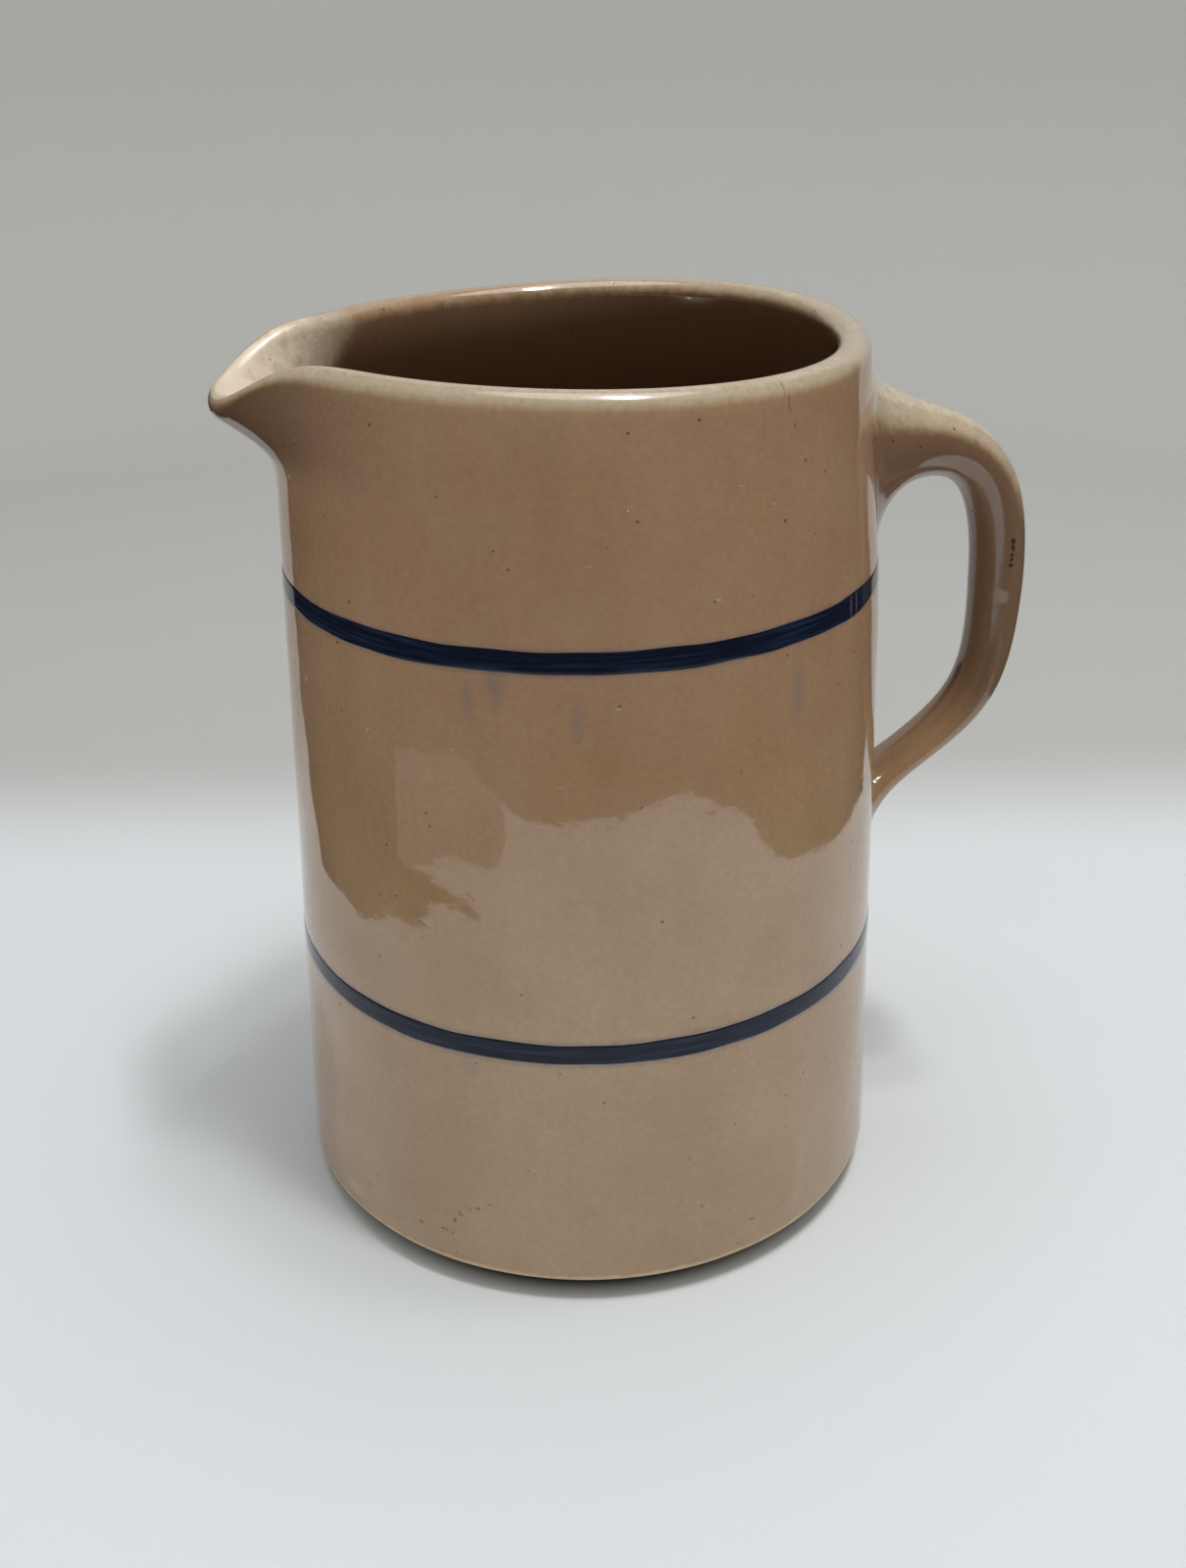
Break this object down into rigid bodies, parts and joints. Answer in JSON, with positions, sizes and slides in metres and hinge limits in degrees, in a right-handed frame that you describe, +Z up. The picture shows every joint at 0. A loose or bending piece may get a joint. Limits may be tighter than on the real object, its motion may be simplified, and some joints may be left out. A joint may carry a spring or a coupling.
{
  "type": "glazed pottery pitcher",
  "caption": "Straight-sided stoneware pitcher with a glossy tan glaze, a pulled pouring lip, a strap handle opposite it and dark blue slip bands round the wall.",
  "frame": {"origin": "middle of the foot's flat underside, on the table", "axes": "+Z up along the axis of the thrown body, -X out over the pouring lip, +X out through the handle"},
  "size_m": [0.2028, 0.1558, 0.2255],
  "materials": {
    "tan_glaze": "glossy",
    "luting_clay": "matte",
    "blue_slip": "glossy"
  },
  "bodies": {
    "root": {"body": "tan_glaze", "spout": "tan_glaze", "handle": "tan_glaze", "upper_luting": "luting_clay", "lower_luting": "luting_clay", "upper_band": "blue_slip", "lower_band": "blue_slip"}
  },
  "joints": []
}
